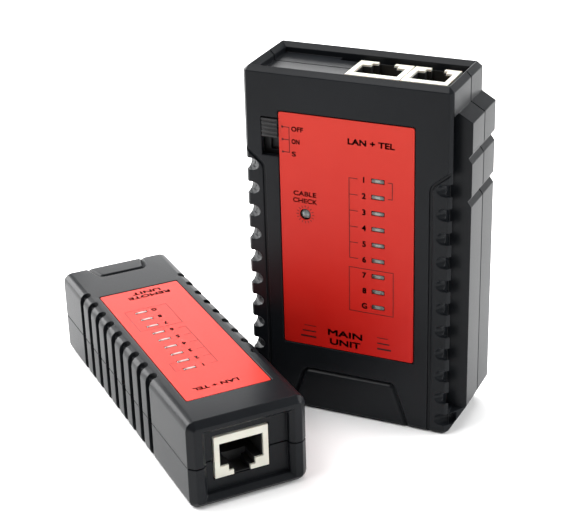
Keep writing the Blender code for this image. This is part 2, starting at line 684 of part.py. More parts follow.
def chip(name, unit, centre, size, legs, rise):
    """A moulded chip and its two rows of legs; rise is the axis that it stands out along."""
    centre = Vector(centre)
    half = Vector(size) / 2
    made = put(name, box(centre - half, centre + half), unit, chip_black)
    rows = bmesh.new()
    pitch = size[0] / legs
    for leg in range(legs):
        for side in (-1, 1):
            low = Vector((-half.x + pitch * (leg + 0.3), 0, 0))
            high = Vector((-half.x + pitch * (leg + 0.7), 0, 0))
            other = 2 if rise == 1 else 1
            low[other] = side * (half[other] - 0.0005) if side > 0 else side * (half[other] + 0.0008)
            high[other] = side * (half[other] + 0.0008) if side > 0 else side * (half[other] - 0.0005)
            low[rise], high[rise] = -0.0002, 0.0002
            add_box(rows, centre + low, centre + high)
    combine(made, put(f"{name}_legs", rows, unit), "UNION")
    return made


chip_y = board_back + GAP + CHIP_THICK / 2
for name, legs, rise in (("main_counter_chip", 8, 0.03), ("main_timer_chip", 4, 0.018)):
    chip(name, main_unit, (-0.008, chip_y, board_floor + rise), (CHIP_STEP * legs, CHIP_THICK, CHIP_DEEP), legs, 1)


def screw(name, unit, place, aim, length):
    """Pan-head screw turned about its axis; place is the seat under its head, aim is where the head looks."""
    profile = [(0, -length), (SCREW_RADIUS * 0.4, -length), (SCREW_RADIUS, -length + SCREW_RADIUS),
               (SCREW_RADIUS, 0), (HEAD_RADIUS, 0), (HEAD_RADIUS, HEAD_THICK * 0.55),
               (HEAD_RADIUS * 0.75, HEAD_THICK), (0, HEAD_THICK)]
    shape = bmesh.new()
    verts = [shape.verts.new((radius, 0, height)) for radius, height in profile]
    for first, second in zip(verts, verts[1:]):
        shape.edges.new((first, second))
    bmesh.ops.spin(shape, geom=shape.verts[:] + shape.edges[:], cent=(0, 0, 0), axis=(0, 0, 1),
                   angle=math.tau, steps=ROUND_STEPS, use_merge=True)
    bmesh.ops.remove_doubles(shape, verts=shape.verts, dist=1e-6)
    frame = Matrix.Translation(place) @ Vector(aim).to_track_quat("Z", "Y").to_matrix().to_4x4()
    made = put(name, shape, unit, steel, frame)
    slot_half = (HEAD_RADIUS * 0.6, HEAD_RADIUS * 0.13)
    floor = HEAD_THICK * 0.4
    for bar, (a, b) in (("a", slot_half), ("b", slot_half[::-1])):
        cross = box((-a, -b, floor), (a, b, HEAD_THICK + OVER))
        combine(made, put(f"{name}_slot_{bar}", cross, unit, frame=frame))
    return made


for index, (x, z) in enumerate(main_screw_places, 1):
    screw(f"main_case_screw_{index}", main_unit, (x, HEAD_SEAT + GAP, z), (0, 1, 0),
          HEAD_SEAT - board_front - OVER)


# ------------------------------------------------------------------ modular jacks, used by both units
def jack(name, contacts_name, unit, frame, width, ways):
    """Moulded socket in its own frame: mouth at z = 0 facing +z, latch towards +y, x across.

    The plug opening has two steps on its latch side, and the outer one runs out of the body.
    """
    half, deep = width / 2, JACK_DEEP / 2
    housing = put(name, box((-half, -deep, -JACK_LENGTH), (half, deep, 0)), unit, jack_plastic, frame)
    mouth_half = half - JACK_SIDE_WALL
    mouth_low = -deep + JACK_TOP_WALL
    mouth_high = mouth_low + JACK_MOUTH
    back = -JACK_LENGTH + JACK_SIDE_WALL
    first, second = LATCH_STEPS
    outline = [(-mouth_half, mouth_low), (mouth_half, mouth_low), (mouth_half, mouth_high),
               (mouth_half * 0.61, mouth_high), (mouth_half * 0.61, mouth_high + first),
               (mouth_half * 0.38, mouth_high + first), (mouth_half * 0.38, deep + OVER),
               (-mouth_half * 0.38, deep + OVER), (-mouth_half * 0.38, mouth_high + first),
               (-mouth_half * 0.61, mouth_high + first), (-mouth_half * 0.61, mouth_high),
               (-mouth_half, mouth_high)]
    latch_depth = JACK_LENGTH * 0.45
    combine(housing, put(f"{name}_mouth", prism(outline, over_top, -latch_depth, OVER), unit, frame=frame))
    combine(housing, put(f"{name}_bore", box((-mouth_half, mouth_low, back),
                                             (mouth_half, mouth_high, -latch_depth + OVER)), unit, frame=frame))
    block_top = back + GAP + 0.0022
    contacts = put(contacts_name, box((-mouth_half + GAP, mouth_low + GAP, back + GAP),
                                      (mouth_half - GAP, mouth_high - GAP, block_top)),
                   unit, contact_gold, frame)
    wires = bmesh.new()
    for way in range(ways):
        x = (way - (ways - 1) / 2) * WIRE_PITCH
        wire = [(mouth_low + 0.0014, block_top - 0.0006), (mouth_low + 0.0018, block_top - 0.0006),
                (mouth_low + 0.0008, -0.0022), (mouth_low + 0.0004, -0.0022)]
        add_prism(wires, wire, lambda a, b, level: (level, a, b), x - 0.00022, x + 0.00022)
    combine(contacts, put(f"{contacts_name}_wires", wires, unit, frame=frame), "UNION")


jack("main_lan_jack", "main_lan_contacts", main_unit, Matrix.Translation((lan_x, jack_y, jack_top)),
     LAN_JACK_WIDTH, 8)
jack("main_phone_jack", "main_phone_contacts", main_unit, Matrix.Translation((phone_x, jack_y, jack_top)),
     PHONE_JACK_WIDTH, 6)

# ------------------------------------------------------------------ main unit: battery, snap and leads
pack_length = BATTERY_LENGTH + TERMINAL_HEIGHT + SNAP_THICK
battery_left = -pack_length / 2
battery_right = battery_left + BATTERY_LENGTH
battery_y = battery_front + BATTERY_THICK / 2
battery_z = BATTERY_FLOOR + BATTERY_HEIGHT / 2
battery = put("battery_9v", rounded_plate((battery_left, battery_front, BATTERY_FLOOR),
                                          (battery_right, battery_front + BATTERY_THICK, battery_top),
                                          BATTERY_CORNER, upright=0, steps=2), main_unit, battery_wrap)
for side, steps in ((-1, ROUND_STEPS), (1, 6)):
    z = battery_z + side * TERMINAL_SPREAD
    combine(battery, put(f"terminal_{steps}", cylinder((battery_right - OVER, battery_y, z),
                                                       (battery_right + TERMINAL_HEIGHT, battery_y, z),
                                                       TERMINAL_RADIUS, steps), main_unit), "UNION")
snap_in = battery_right + GAP
snap_out = battery_right + TERMINAL_HEIGHT + SNAP_THICK
snap_half = (BATTERY_THICK / 2 - 0.003, BATTERY_HEIGHT / 2 - 0.001)
snap = put("battery_snap", rounded_plate((snap_in, battery_y - snap_half[0], battery_z - snap_half[1]),
                                         (snap_out, battery_y + snap_half[0], battery_z + snap_half[1]),
                                         SNAP_CORNER, upright=0), main_unit, snap_black)
for side in (-1, 1):
    z = battery_z + side * TERMINAL_SPREAD
    combine(snap, put(f"snap_cup_{side + 1}", cylinder((snap_in - OVER, battery_y, z),
                                                       (battery_right + TERMINAL_HEIGHT + GAP, battery_y, z),
                                                       TERMINAL_RADIUS + GAP), main_unit))


def lead(name, look, start, end):
    """Insulated wire on one smooth curve from the snap's edge up to the board's back."""
    start, end = Vector(start), Vector(end)
    pull = (end.z - start.z) * 0.5
    handles = (start, start + Vector((0, 0, pull)), end + Vector((0, pull * 0.6, -pull * 0.2)), end)
    curve = bpy.data.curves.new(name, "CURVE")
    curve.dimensions = "3D"
    curve.bevel_depth = LEAD_RADIUS
    curve.bevel_resolution = 2
    curve.use_fill_caps = True
    steps = 14
    spline = curve.splines.new("POLY")
    spline.points.add(steps)
    for index in range(steps + 1):
        t = index / steps
        weights = ((1 - t) ** 3, 3 * t * (1 - t) ** 2, 3 * t * t * (1 - t), t ** 3)
        point = sum((weight * handle for weight, handle in zip(weights, handles)), Vector())
        spline.points[index].co = (*point, 1)
    made = bpy.data.objects.new(name, curve)
    made.parent = main_unit
    parts.objects.link(made)
    curve.materials.append(look)


snap_edge = battery_z + snap_half[1] + GAP
lead_x = (snap_in + snap_out) / 2
for name, look, shift in (("battery_lead_positive", lead_red, 0),
                          ("battery_lead_negative", lead_black, LEAD_APART)):
    lead(name, look, (lead_x, -0.0012 + shift, snap_edge),
         (lead_x - 0.009 - shift * 2, board_back + GAP + LEAD_RADIUS, board_floor + 0.004))

# ------------------------------------------------------------------ remote unit: casing
across = Vector((math.cos(REMOTE_TURN), math.sin(REMOTE_TURN), 0))
along = Vector((-math.sin(REMOTE_TURN), math.cos(REMOTE_TURN), 0))
corner = Vector((-half_width, front_face, 0))
remote_place = (across * (across.dot(corner) - remote_half - REMOTE_CLEARANCE)
                + along * (along.dot(corner) - REMOTE_LEAD))
remote_unit = empty("remote_unit_frame", remote_place, REMOTE_TURN)


def remote_outline(inset):
    """Outline across the remote casing, with rounds about the same centres at every inset."""
    outline = []
    corners = ((1, FOOT_ROUND, FOOT_ROUND), (1, TOP_ROUND, REMOTE_THICK - TOP_ROUND),
               (-1, TOP_ROUND, REMOTE_THICK - TOP_ROUND), (-1, FOOT_ROUND, FOOT_ROUND))
    for quarter, (sign, radius, z) in enumerate(corners, -1):
        for step in range(4):
            angle = math.pi / 2 * (quarter + step / 3)
            outline.append((sign * (remote_half - radius) + (radius - inset) * math.cos(angle),
                            z + (radius - inset) * math.sin(angle)))
    return outline


def remote_block():
    """Outer block: rounded long edges, wider rounds along the back and chamfered ends."""
    shape = bmesh.new()
    add_loft(shape, ((0, remote_outline(END_CHAMFER)), (END_CHAMFER, remote_outline(0)),
                     (REMOTE_LENGTH - EDGE_CHAMFER, remote_outline(0)),
                     (REMOTE_LENGTH, remote_outline(EDGE_CHAMFER))), over_side)
    return shape


recess_low = (-remote_half + REMOTE_RECESS_SIDE, REMOTE_RECESS_FOOT)
recess_high = (remote_half - REMOTE_RECESS_SIDE, REMOTE_THICK - REMOTE_RECESS_TOP)
end_recess = put("end_recess",
                 flared_pocket(recess_low, recess_high, REMOTE_RECESS, REMOTE_BEVEL, -OVER, over_side), remote_unit)

end_wall = REMOTE_RECESS + WALL
remote_cavity = put("remote_cavity", box((-remote_half + WALL, end_wall, WALL),
                                         (remote_half - DOCK_DEPTH - WALL, REMOTE_LENGTH - WALL,
                                          REMOTE_THICK - WALL)), remote_unit)
dock = put("dock_channel", box((remote_half - DOCK_DEPTH, DOCK_START, dock_low),
                               (remote_half + OVER, REMOTE_LENGTH + OVER, dock_high)), remote_unit)
remote_jack_low = (REMOTE_JACK_X - LAN_JACK_WIDTH / 2, REMOTE_JACK_Z)
remote_jack_high = (REMOTE_JACK_X + LAN_JACK_WIDTH / 2, REMOTE_JACK_Z + JACK_DEEP)
remote_jack_window = put("remote_jack_window", box((remote_jack_low[0] - GAP, 0, remote_jack_low[1] - GAP),
                                                   (remote_jack_high[0] + GAP, end_wall + OVER,
                                                    remote_jack_high[1] + GAP)), remote_unit)

groove_count = int((REMOTE_LENGTH - GROOVE_FAR - GROOVE_NEAR) / GROOVE_PITCH + 0.01) + 1
groove_ys = [GROOVE_NEAR + row * GROOVE_PITCH for row in range(groove_count)]
groove_sides = bmesh.new()
groove_tops = bmesh.new()
groove_half = GROOVE_WIDTH / 2
top_floor = REMOTE_THICK - GROOVE_DEPTH
for y in groove_ys:
    for side in (-1, 1):
        inner = side * (remote_half - GROOVE_DEPTH)
        outer = side * (remote_half + OVER)
        add_box(groove_sides, (min(inner, outer), y - groove_half, -OVER),
                (max(inner, outer), y + groove_half, REMOTE_THICK + OVER))
        nose = side * (remote_half - GROOVE_REACH + groove_half)
        steps = 6
        arc = [(nose - side * groove_half * math.sin(math.pi * step / steps),
                y - groove_half * math.cos(math.pi * step / steps)) for step in range(steps + 1)]
        slot = [(outer, y - groove_half)] + arc + [(outer, y + groove_half)]
        add_prism(groove_tops, slot, over_top, top_floor, REMOTE_THICK + OVER)
remote_groove_sides = put("remote_groove_sides", groove_sides, remote_unit)
remote_groove_tops = put("remote_groove_tops", groove_tops, remote_unit)

remote_label_half = REMOTE_LABEL_WIDTH / 2
remote_label_far = REMOTE_LENGTH - REMOTE_LABEL_FAR
remote_label_pocket = put("remote_label_pocket",
                          rounded_plate((-remote_label_half - GAP, REMOTE_LABEL_NEAR - GAP,
                                         REMOTE_THICK - label_pocket_depth),
                                        (remote_label_half + GAP, remote_label_far + GAP, REMOTE_THICK + OVER),
                                        LABEL_CORNER), remote_unit)
remote_led_ys = [REMOTE_LED_NEAR + row * remote_led_pitch for row in range(LED_COUNT)]
remote_holes = bmesh.new()
for y in remote_led_ys:
    add_box(remote_holes, (REMOTE_LED_X - window_half[0], y - window_half[1], REMOTE_THICK - WALL - OVER),
            (REMOTE_LED_X + window_half[0], y + window_half[1], REMOTE_THICK + OVER))
remote_lamp_holes = put("remote_lamp_holes", remote_holes, remote_unit)

panel_start = REMOTE_LENGTH - REMOTE_PANEL_REACH
far_path = rounded([(-REMOTE_PANEL_FOOT, REMOTE_LENGTH + OVER), (-REMOTE_PANEL_TOP, panel_start),
                    (REMOTE_PANEL_TOP, panel_start), (REMOTE_PANEL_FOOT, REMOTE_LENGTH + OVER)], PANEL_CORNER)
remote_panel_groove = put("remote_panel_groove",
                          prism(ribbon(far_path, V_WIDTH * (1 + OVER / V_DEPTH)), over_top, REMOTE_THICK + OVER,
                                REMOTE_THICK - V_DEPTH, ribbon(far_path, V_WIDTH * 0.15)), remote_unit)

remote_front = put("remote_front_shell", remote_block(), remote_unit, case_plastic)
remote_rear = put("remote_rear_shell", remote_block(), remote_unit, case_plastic)
upper_start = REMOTE_PARTING + GAP / 2
lower_end = REMOTE_PARTING - GAP / 2
combine(remote_front, put("below_front",
                          box((-remote_half - OVER, -OVER, -OVER),
                              (remote_half + OVER, REMOTE_LENGTH + OVER, upper_start)), remote_unit))
combine(remote_rear, put("above_rear", box((-remote_half - OVER, -OVER, lower_end),
                                           (remote_half + OVER, REMOTE_LENGTH + OVER, REMOTE_THICK + OVER)),
                         remote_unit))
for tool in (end_recess, remote_cavity, dock, remote_jack_window, remote_groove_sides):
    combine(remote_front, tool)
    combine(remote_rear, tool)
for tool in (remote_groove_tops, remote_label_pocket, remote_lamp_holes, remote_panel_groove):
    combine(remote_front, tool)

for index, (x, y) in enumerate(REMOTE_SCREWS, 1):
    def post(name, start, end, radius):
        return put(f"{name}_{index}", cylinder((x, y, start), (x, y, end), radius), remote_unit)

    post_top = REMOTE_THICK - WALL + EMBED
    combine(remote_front, post("remote_shoulder", remote_board_top + GAP, post_top, BOSS_RADIUS), "UNION")
    combine(remote_front, post("remote_pin", upper_start, post_top, PIN_RADIUS), "UNION")
    combine(remote_front, post("remote_pilot", upper_start - OVER, remote_board_top, SCREW_RADIUS + GAP))
    combine(remote_rear, post("remote_rear_boss", WALL - EMBED, lower_end, BOSS_RADIUS), "UNION")
    combine(remote_rear, post("remote_rear_hole", REMOTE_SEAT - OVER, lower_end + OVER, SCREW_RADIUS + GAP))
    combine(remote_rear, post("remote_counterbore", -OVER, REMOTE_SEAT, HEAD_RADIUS + GAP))
    screw(f"remote_case_screw_{index}", remote_unit, (x, y, REMOTE_SEAT - GAP), (0, 0, -1),
          remote_board_top - OVER - REMOTE_SEAT)

# ------------------------------------------------------------------ remote unit: label, lamps, board and jack
label_top = REMOTE_THICK - LABEL_SINK
remote_label = put("remote_label",
                   rounded_plate((-remote_label_half, REMOTE_LABEL_NEAR, label_top - LABEL_THICK),
                                 (remote_label_half, remote_label_far, label_top), LABEL_CORNER),
                   remote_unit, label_film)
combine(remote_label, remote_lamp_holes)
for lamp_name, y in zip(lamp_names, remote_led_ys):
    lamp(f"remote_led_{lamp_name}", remote_unit,
         (REMOTE_LED_X - LED_WIDTH / 2, y - LED_HEIGHT / 2, remote_board_top + GAP),
         (REMOTE_LED_X + LED_WIDTH / 2, y + LED_HEIGHT / 2, REMOTE_THICK), 2)

remote_board = put("remote_circuit_board",
                   box((-remote_half + WALL + BOARD_EDGE, end_wall + BOARD_EDGE, remote_board_floor),
                       (remote_half - DOCK_DEPTH - WALL - BOARD_EDGE, REMOTE_LENGTH - WALL - BOARD_EDGE,
                        remote_board_top)), remote_unit, board_green)
for index, (x, y) in enumerate(REMOTE_SCREWS, 1):
    combine(remote_board, put(f"remote_board_hole_{index}",
                              cylinder((x, y, remote_board_floor - OVER), (x, y, remote_board_top + OVER),
                                       PIN_RADIUS + GAP), remote_unit))
chip("remote_diode_array", remote_unit,
     (REMOTE_LED_X, (REMOTE_LED_NEAR + remote_led_far) / 2, remote_board_floor - GAP - CHIP_THICK / 2),
     (CHIP_STEP * 4, CHIP_DEEP, CHIP_THICK), 4, 2)

mouth_out = Matrix(((-1, 0, 0), (0, 0, -1), (0, -1, 0))).to_4x4()
jack("remote_jack", "remote_contacts", remote_unit,
     Matrix.Translation((REMOTE_JACK_X, REMOTE_JACK_SINK, REMOTE_JACK_Z + JACK_DEEP / 2)) @ mouth_out,
     LAN_JACK_WIDTH, 8)
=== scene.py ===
"""The look of a network cable tester: an upright main unit and a remote unit that lies beside it."""
import math

import bmesh
import bpy
import numpy as np
from mathutils import Matrix, Vector


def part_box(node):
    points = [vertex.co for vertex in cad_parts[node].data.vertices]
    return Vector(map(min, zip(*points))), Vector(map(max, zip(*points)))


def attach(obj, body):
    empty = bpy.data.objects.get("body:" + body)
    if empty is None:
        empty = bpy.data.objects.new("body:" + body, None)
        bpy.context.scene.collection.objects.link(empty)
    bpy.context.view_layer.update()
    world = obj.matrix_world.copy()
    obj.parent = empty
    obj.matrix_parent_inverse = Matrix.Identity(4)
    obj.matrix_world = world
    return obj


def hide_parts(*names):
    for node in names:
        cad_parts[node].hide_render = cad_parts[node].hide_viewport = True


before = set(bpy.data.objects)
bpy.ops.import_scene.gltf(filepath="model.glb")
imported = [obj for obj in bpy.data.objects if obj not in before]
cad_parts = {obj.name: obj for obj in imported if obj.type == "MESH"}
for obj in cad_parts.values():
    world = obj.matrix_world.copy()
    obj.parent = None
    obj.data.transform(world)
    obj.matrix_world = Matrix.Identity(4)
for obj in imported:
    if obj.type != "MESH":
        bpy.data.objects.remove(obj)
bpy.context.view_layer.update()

# ------------------------------------------------------------------ camera, floor and light
# A long lens looks about 25 degrees down on the two units, from in front and to the right, on a
# white sweep between soft boxes at both sides, above, low behind, and a smaller one high in front.
CAMERA_PLACE = Vector((0.14984, -0.38001, 0.23642))
CAMERA_AZIMUTH, CAMERA_ELEVATION, CAMERA_ROLL = (math.radians(a) for a in (24.49, 25.03, -1.62))
CAMERA_LENS = 97.39
FLOOR_REACH, FLOOR_RISE = 1.2, 0.9
FLOOR_BEND = 0.6           # share of the sweep that lies flat, before it turns up

camera = bpy.data.objects.new("camera", bpy.data.cameras.new("camera"))
camera.data.lens = CAMERA_LENS
camera.data.clip_start = 0.01
turn = (Matrix.Rotation(CAMERA_AZIMUTH, 3, "Z") @ Matrix.Rotation(math.pi / 2 - CAMERA_ELEVATION, 3, "X")
        @ Matrix.Rotation(CAMERA_ROLL, 3, "Z"))
camera.matrix_world = Matrix.Translation(CAMERA_PLACE) @ turn.to_4x4()
bpy.context.scene.collection.objects.link(camera)
bpy.context.scene.camera = camera
bpy.context.scene.view_settings.view_transform = "Standard"


def grid_faces(rows, columns, wrap=False):
    """Quads between neighbouring points of a grid of rows by columns.

    Each joins a point, the next in its row, and the two under them; wrap joins the last column to the first.
    """
    ends = columns if wrap else columns - 1
    row, column = np.meshgrid(np.arange(rows - 1), np.arange(ends), indexing="ij")
    here, beside = row * columns + column, row * columns + (column + 1) % columns
    return np.stack((here, beside, beside + columns, here + columns), -1).reshape(-1, 4)


def new_piece(name, points, faces, smooth=True):
    """Make a mesh object of an array of points and a list of faces."""
    mesh = bpy.data.meshes.new(name)
    mesh.from_pydata(np.asarray(points).reshape(-1, 3).tolist(), [], [list(map(int, face)) for face in faces])
    mesh.polygons.foreach_set("use_smooth", np.full(len(mesh.polygons), smooth))
    made = bpy.data.objects.new(name, mesh)
    bpy.context.scene.collection.objects.link(made)
    return made


across, sweep = np.meshgrid(np.linspace(-1, 1, 3), np.linspace(0, 1, 60), indexing="ij")
bend = np.clip((sweep - FLOOR_BEND) / (1 - FLOOR_BEND), 0, 1)     # the rise is a power of this
floor = new_piece("floor", np.stack((across * FLOOR_REACH * 2, (sweep * 2 - 0.8) * FLOOR_REACH,
                                     FLOOR_RISE * bend ** 2.2), -1), grid_faces(3, 60))
floor_white = bpy.data.materials.new("floor_white")
floor_white.use_nodes = True
floor_white.node_tree.nodes["Principled BSDF"].inputs["Base Color"].default_value = (0.97, 0.97, 0.97, 1)
floor_white.node_tree.nodes["Principled BSDF"].inputs["Roughness"].default_value = 0.9
floor.data.materials.append(floor_white)


def soft_light(name, place, aim, size, power):
    """A square soft box that faces a point."""
    light = bpy.data.lights.new(name, "AREA")
    light.shape = "SQUARE"
    light.size = size
    light.energy = power
    made = bpy.data.objects.new(name, light)
    made.location = place
    made.rotation_euler = (Vector(aim) - Vector(place)).to_track_quat("-Z", "Y").to_euler()
    bpy.context.scene.collection.objects.link(made)


soft_light("left_box", (-0.75, 0.1, 0.42), (0, 0, 0.05), 0.7, 16)
soft_light("right_box", (0.8, 0.3, 0.4), (0, 0, 0.05), 0.7, 9.5)
soft_light("top_box", (-0.05, 0.35, 0.95), (0, 0, 0.05), 0.8, 8)
soft_light("back_box", (-0.42, 0.92, 0.27), (0, 0, 0.05), 0.6, 4.0)
soft_light("front_box", (-0.3, -0.42, 1.0), (0, 0, 0.05), 0.45, 4.6)
world = bpy.data.worlds.new("studio")
world.use_nodes = True
world.node_tree.nodes["Background"].inputs["Color"].default_value = (1, 1, 1, 1)
world.node_tree.nodes["Background"].inputs["Strength"].default_value = 0.3
bpy.context.scene.world = world


# ------------------------------------------------------------------ casing shells
# Five mouldings in charcoal ABS: a front and a rear shell for each unit, and the battery door. The
# tool is spark-eroded, which leaves a fine even grain, and every moulded edge has a small radius.
EDGE_RADIUS = 0.00018
GRAIN_SIZE = 0.00022


class Wire:
    """A socket of a material's nodes, which sums and products of Wires join up with Math nodes."""

    def __init__(self, tree, socket=None):
        self.tree, self.socket = tree, socket

    def node(self, kind, settings=None, sockets=None, output=0):
        """Add a node: its settings first, then the value or Wire that goes into each socket."""
        made = self.tree.nodes.new("ShaderNode" + kind)
        for name, value in (settings or {}).items():
            if name == "stops":
                ramp = made.color_ramp.elements
                for index, (place, colour) in enumerate(value):
                    stop = ramp[index] if index < 2 else ramp.new(place)
                    stop.position, stop.color = place, (*colour, 1)
            elif name == "ramp":
                made.color_ramp.interpolation = value
            else:
                setattr(made, name, value)
        for name, value in (sockets or {}).items():
            if isinstance(value, Wire):
                self.tree.links.new(value.socket, made.inputs[name])
            else:
                made.inputs[name].default_value = value
        return Wire(self.tree, made.outputs[output])

    def maths(self, operation, first, second):
        """One Math node on two values or Wires."""
        return self.node("Math", {"operation": operation}, {0: first, 1: second})

    def __add__(self, other):
        return self.maths("ADD", self, other)

    def __radd__(self, other):
        return self.maths("ADD", other, self)

    def __sub__(self, other):
        return self.maths("SUBTRACT", self, other)

    def __rsub__(self, other):
        return self.maths("SUBTRACT", other, self)

    def __mul__(self, other):
        return self.maths("MULTIPLY", self, other)

    def __rmul__(self, other):
        return self.maths("MULTIPLY", other, self)


def new_material(name, colour, roughness, **sockets):
    """A material with a Principled shader; returns it, a Wire to add nodes with, and the shader."""
    made = bpy.data.materials.new(name)
    made.use_nodes = True
    shader = made.node_tree.nodes["Principled BSDF"]
    shader.inputs["Base Color"].default_value = (*colour, 1)
    shader.inputs["Roughness"].default_value = roughness
    for socket, value in sockets.items():
        shader.inputs[socket.replace("_", " ")].default_value = value
    return made, Wire(made.node_tree), shader


def feed(wire, shader, socket):
    """Link a Wire to one of the shader's sockets."""
    wire.tree.links.new(wire.socket, shader.inputs[socket])


def noise(wires, size, detail=2.0):
    """Noise with features of the given size in metres, from 0 to 1."""
    place = wires.node("TexCoord", output="Object")
    return wires.node("TexNoise", sockets={"Vector": place, "Scale": 1 / size, "Detail": detail})


def grained(wires, shader, size, height, strength=1.0):
    """Raise a fine grain of the given size and height on the surface."""
    grain = noise(wires, size)
    bump = wires.node("Bump", sockets={"Height": grain, "Distance": height, "Strength": strength})
    feed(bump, shader, "Normal")
    return grain


def varied(wires, shader, colour, spread, size):
    """Let the colour drift by a share of itself over patches of the given size."""
    patches = noise(wires, size, 3.0)
    darker, lighter = ([channel * (1 + sign * spread) for channel in colour] for sign in (-1, 1))
    tone = wires.node("ValToRGB", {"stops": ((0.3, darker), (0.7, lighter))}, {"Fac": patches})
    feed(tone, shader, "Base Color")
    return patches


def charcoal_abs():
    """Near-black plastic; its roughness is a base plus a share of the grain and a share of the patches."""
    colour = (0.0068, 0.0078, 0.0094)
    made, wires, shader = new_material("charcoal_abs", colour, 0.34, Specular_IOR_Level=0.12)
    grain = grained(wires, shader, GRAIN_SIZE, 0.00002, 0.6)
    patches = varied(wires, shader, colour, 0.16, 0.02)
    feed(0.25 + 0.08 * grain + 0.06 * patches, shader, "Roughness")
    return made


casing_plastic = charcoal_abs()


def softened(node, name, body, look, radius=EDGE_RADIUS, sharp=30):
    """A CAD node's own mesh, merged, with each edge sharper than an angle rounded off to a radius."""
    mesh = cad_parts[node].data.copy()
    mesh.materials.clear()
    shape = bmesh.new()
    shape.from_mesh(mesh)
    bmesh.ops.remove_doubles(shape, verts=shape.verts, dist=1e-6)
    bmesh.ops.dissolve_limit(shape, angle_limit=math.radians(1), verts=shape.verts, edges=shape.edges)
    bmesh.ops.remove_doubles(shape, verts=shape.verts, dist=radius)
    bmesh.ops.dissolve_degenerate(shape, dist=1e-6, edges=shape.edges)
    bmesh.ops.triangulate(shape, faces=shape.faces, quad_method="BEAUTY", ngon_method="BEAUTY")
    edges = [edge for edge in shape.edges if edge.calc_face_angle(0) > math.radians(sharp)]
    bmesh.ops.bevel(shape, geom=edges, offset=radius, segments=2, profile=0.5, affect="EDGES",
                    clamp_overlap=False)
    shape.to_mesh(mesh)
    shape.free()
    mesh.polygons.foreach_set("use_smooth", np.full(len(mesh.polygons), True))
    made = bpy.data.objects.new(name, mesh)
    bpy.context.scene.collection.objects.link(made)
    flats = made.modifiers.new("keep_flats_flat", "WEIGHTED_NORMAL")
    flats.weight = 90
    mesh.materials.append(look)
    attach(made, body)
    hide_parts(node)
    return made


for node, name, body in (("main_front_shell", "main_front_casing", "main_unit"),
                         ("main_rear_shell", "main_rear_casing", "main_unit"),
                         ("main_battery_door", "battery_cover", "battery_door"),
                         ("remote_front_shell", "remote_front_casing", "remote_unit"),
                         ("remote_rear_shell", "remote_rear_casing", "remote_unit")):
    softened(node, name, body, casing_plastic)


# ------------------------------------------------------------------ label films
# Two red polyester films in shallow pockets in the front shells, held by their own adhesive. The red
# is printed on, under a satin clear coat, and is made darker towards the foot of the main unit as painted
# shade.
FILM_PEEL = 0.0007


def label_film_painted_shade(name, foot, top, low, high):
    """Red film that goes from one red at the height low to another at the height high, as painted shade that
    darkens it towards the foot.

    The mix is the share of the way up from low to high, plus a little noise.
    """
    made, wires, shader = new_material(name, top, 0.36, Specular_IOR_Level=0.15)
    place = wires.node("TexCoord", output="Object")
    height = wires.node("SeparateXYZ", sockets={"Vector": place}, output="Z")
    patches = noise(wires, 0.009, 4.0)
    # The share of the way up stands for light falling from above: painted shade, darker towards the foot.
    tone = (height - low) * (1 / (high - low)) + 0.3 * (patches - 0.5)
    feed(wires.node("ValToRGB", {"stops": ((0.0, foot), (1.0, top))}, {"Fac": tone}), shader, "Base Color")
    peel = grained(wires, shader, FILM_PEEL, 0.000004, 0.5)
    feed(0.3 + 0.1 * peel + 0.05 * patches, shader, "Roughness")
    return made


def relook(node, look):
    """Give a CAD node's own object a finish."""
    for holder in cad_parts[node].material_slots:
        holder.material = look


label_low, label_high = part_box("main_label")
relook("main_label", label_film_painted_shade("main_label_film", (0.46, 0.008, 0.005), (0.56, 0.034, 0.021),
                                label_low[2], label_high[2]))
relook("remote_label", label_film_painted_shade("remote_label_film", (0.50, 0.028, 0.019), (0.54, 0.034, 0.023), 0.0, 0.05))


# ------------------------------------------------------------------ print on the labels
# Dark maroon ink, screen printed over the red: lamp numbers and their wiring brackets, the switch
# marks, a sunburst round the power lamp, and plain names. It stands a fiftieth of a millimetre proud.
INK_PROUD = 0.00002
CAPITAL = 0.73             # a capital's height, as a share of its font's size
LAMPS = ("1", "2", "3", "4", "5", "6", "7", "8", "g")
FINE, MEDIUM, BROAD = 0.00023, 0.00038, 0.00056            # widths of lines
THIN, BOLD, BOLDER = 0.00005, 0.00009, 0.00011             # spread of bold lettering
NUMBER_ASIDE = 0.0041      # a number's middle, left of its lamp's
RAIL_ASIDE, TICK = 0.0084, 0.0025                          # brackets, from the middle of the lamps
PAIR_NEAR, PAIR_FAR = 0.0029, 0.0042
BOX_LEFT, BOX_RIGHT, BOX_OVER, BOX_UNDER = 0.0086, 0.0045, 0.0019, 0.0021


def middle(node):
    """The middle of a CAD node's box."""
    low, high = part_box(node)
    return (np.array(low) + np.array(high)) / 2


def mitres(path, closed=False):
    """Each point's outward mitre: the sum of its two runs' unit normals over 1 plus their dot product."""
    run = np.diff(np.vstack((path, path[:1])) if closed else path, axis=0)
    run /= np.linalg.norm(run, axis=1)[:, None]
    normal = np.stack((run[:, 1], -run[:, 0]), 1)
    before = np.roll(normal, 1, axis=0) if closed else np.vstack((normal[:1], normal))
    after = normal if closed else np.vstack((normal, normal[-1:]))
    return (before + after) / (1 + (before * after).sum(1))[:, None]


def line(path, width):
    """A line of even width: each point goes half the width both ways along its mitre."""
    path = np.asarray(path, float)
    aside = mitres(path) * width / 2
    return np.stack((path - aside, path + aside), 1).reshape(-1, 2), grid_faces(len(path), 2).tolist()


def dot(centre, radius, corners=20):
    """A disc: its centre plus the radius times the cosine and sine of an angle."""
    angle = np.linspace(0, math.tau, corners, endpoint=False)
    return np.asarray(centre) + radius * np.stack((np.cos(angle), np.sin(angle)), 1), [list(range(corners))]


